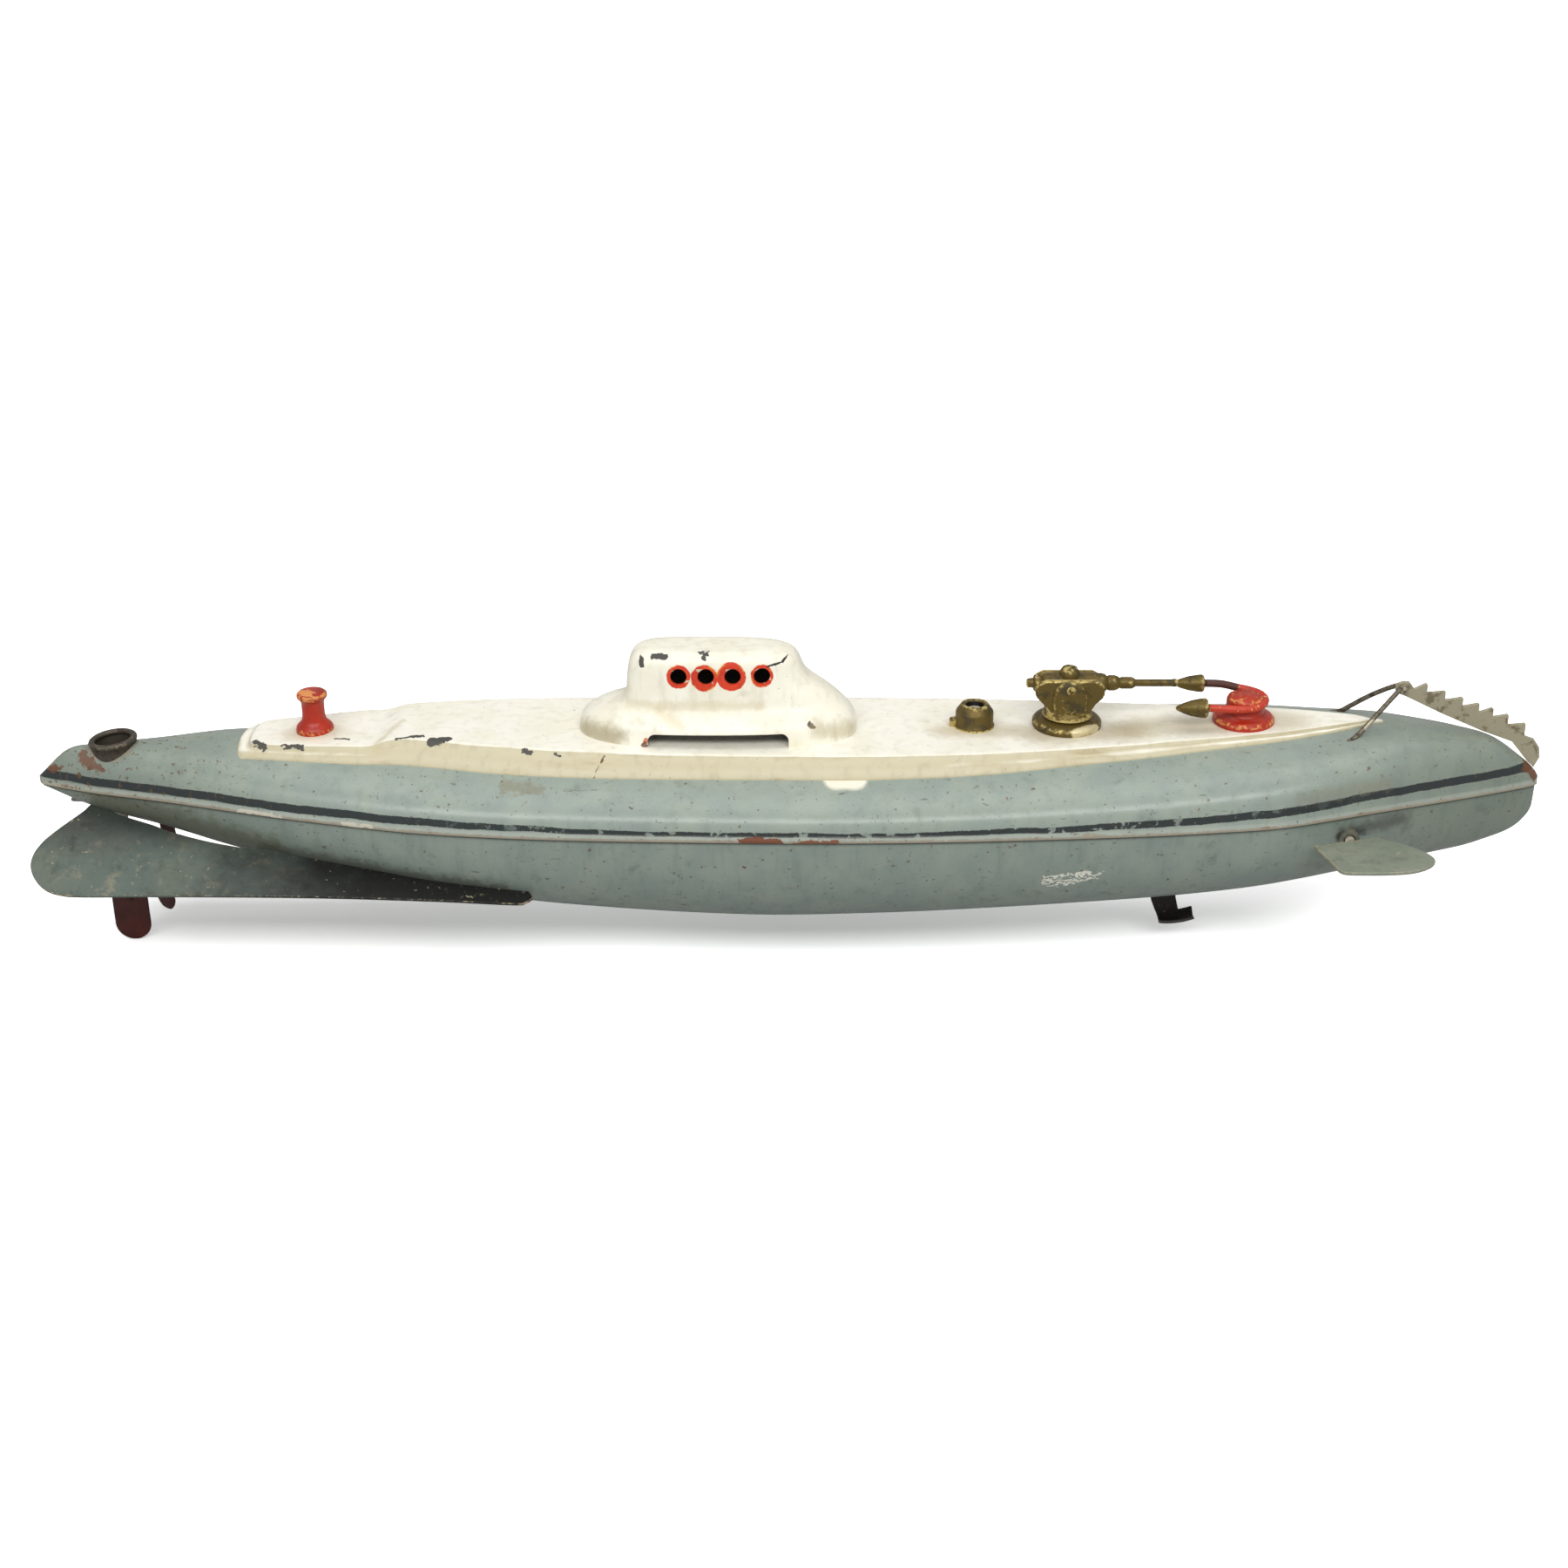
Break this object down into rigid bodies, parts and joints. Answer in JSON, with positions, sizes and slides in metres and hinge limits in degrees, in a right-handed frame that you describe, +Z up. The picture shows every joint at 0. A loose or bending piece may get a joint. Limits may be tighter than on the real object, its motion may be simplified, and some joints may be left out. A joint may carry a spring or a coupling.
{
  "type": "clockwork toy submarine boat",
  "caption": "Pressed-metal clockwork toy submarine with conning tower, deck gun, net cutter, diving planes, rudder and screw.",
  "frame": {"origin": "on the ground under the middle of the hull, level with the rudder's lowest point", "axes": "+X to the bow, +Y to port, +Z up"},
  "size_m": [0.33, 0.068, 0.0721],
  "materials": {
    "hull_paint": "blue-grey enamel, worn to metal and rust at the seam",
    "upper_paint": "pale blue-grey enamel with a dark navy line",
    "deck_cream": "cream enamel, yellowed, with chips",
    "signal_red": "red enamel with orange wear",
    "deep_red": "dark red enamel",
    "old_gold": "dull gold lacquer over brass, rubbed on edges",
    "bare_steel": "bare grey steel, spotted",
    "blacked_steel": "blacked steel",
    "dark_rubbed": "dark rubbed steel",
    "clock_brass": "plain brass",
    "lead": "dull cast metal"
  },
  "bodies": {
    "hull": {"lower_hull_shell": "hull_paint", "upper_hull_shell": "upper_paint", "deck_superstructure": "deck_cream", "conning_tower": "deck_cream", "ballast_weight": "lead", "bollard": "signal_red", "winding_bush": "old_gold", "anchor_base": "signal_red", "anchor_yoke": "signal_red", "anchor_fluke_starboard": "old_gold", "anchor_fluke_port": "old_gold", "net_cutter": "bare_steel", "cutter_stay_starboard": "bare_steel", "cutter_stay_port": "bare_steel", "cutter_pin": "bare_steel", "gun_base": "old_gold", "gun_rivet": "clock_brass", "stern_ring": "dark_rubbed", "rudder_trunk": "bare_steel", "tail_fin_starboard": "hull_paint", "tail_fin_port": "hull_paint", "stern_strut": "deep_red", "bow_plane_bush_starboard": "hull_paint", "bow_plane_bush_port": "hull_paint", "stern_tube": "hull_paint", "shaft_bearing": "clock_brass", "motor_top_plate": "clock_brass", "motor_base_plate": "clock_brass", "motor_cradle_aft": "bare_steel", "motor_cradle_fore": "bare_steel", "mainspring": "blacked_steel", "brake_pivot": "bare_steel", "motor_pillar_1": "bare_steel", "motor_screw_1": "bare_steel", "motor_pillar_2": "bare_steel", "motor_screw_2": "bare_steel", "motor_pillar_3": "bare_steel", "motor_screw_3": "bare_steel", "motor_pillar_4": "bare_steel", "motor_screw_4": "bare_steel"},
    "rudder": {"rudder_stock": "deep_red", "rudder_blade": "deep_red"},
    "screw_shaft": {"propeller": "deep_red", "propeller_shaft": "bare_steel", "shaft_pinion": "clock_brass"},
    "second_wheel": {"second_arbor": "bare_steel", "second_pinion": "clock_brass", "crown_wheel": "clock_brass"},
    "drive_wheel": {"great_wheel": "clock_brass", "click_pawl": "bare_steel"},
    "winder": {"winding_arbor": "bare_steel", "ratchet_wheel": "clock_brass"},
    "gun_carriage": {"gun_mount": "old_gold", "gun_trunnion_pin": "old_gold"},
    "gun_tube": {"gun_barrel": "old_gold"},
    "bow_planes": {"bow_plane_starboard": "hull_paint", "bow_plane_port": "hull_paint", "bow_plane_shaft": "bare_steel"},
    "stop_lever": {"brake_lever": "blacked_steel"}
  },
  "joints": [
    {"name": "rudder_turn", "type": "hinge", "parent": "hull", "child": "rudder", "pos_m": [-0.149, 0, 0.0296], "axis": [0, 0, 1], "range_deg": [-35, 35]},
    {"name": "drive_turn", "type": "hinge", "parent": "hull", "child": "drive_wheel", "pos_m": [0.0404, 0, 0.0396], "axis": [0, 0, 1], "continuous": true},
    {"name": "second_turn", "type": "hinge", "parent": "hull", "child": "second_wheel", "pos_m": [0.0204, 0, 0.0396], "axis": [0, 0, 1], "continuous": true},
    {"name": "propeller_spin", "type": "hinge", "parent": "hull", "child": "screw_shaft", "pos_m": [-0.1415, 0, 0.0177], "axis": [0.9962, 0, 0.0872], "continuous": true},
    {"name": "winding_turn", "type": "hinge", "parent": "hull", "child": "winder", "pos_m": [0.0404, 0, 0.0396], "axis": [0, 0, 1], "continuous": true},
    {"name": "gun_swivel", "type": "hinge", "parent": "hull", "child": "gun_carriage", "pos_m": [0.0605, 0, 0.0556], "axis": [0, 0, 1], "continuous": true},
    {"name": "gun_elevation", "type": "hinge", "parent": "gun_carriage", "child": "gun_tube", "pos_m": [0.0605, 0, 0.0632], "axis": [0, -1, 0], "range_deg": [-3, 12]},
    {"name": "bow_plane_tilt", "type": "hinge", "parent": "hull", "child": "bow_planes", "pos_m": [0.12, 0, 0.0344], "axis": [0, 1, 0], "range_deg": [-25, 25]},
    {"name": "stop_lever_swing", "type": "hinge", "parent": "hull", "child": "stop_lever", "pos_m": [0.078, 0, 0.0216], "axis": [0, -1, 0], "range_deg": [-6, 1]}
  ],
  "couplings": [
    {"joint": "second_turn", "follows": "drive_turn", "ratio": -4},
    {"joint": "propeller_spin", "follows": "drive_turn", "ratio": -12}
  ]
}
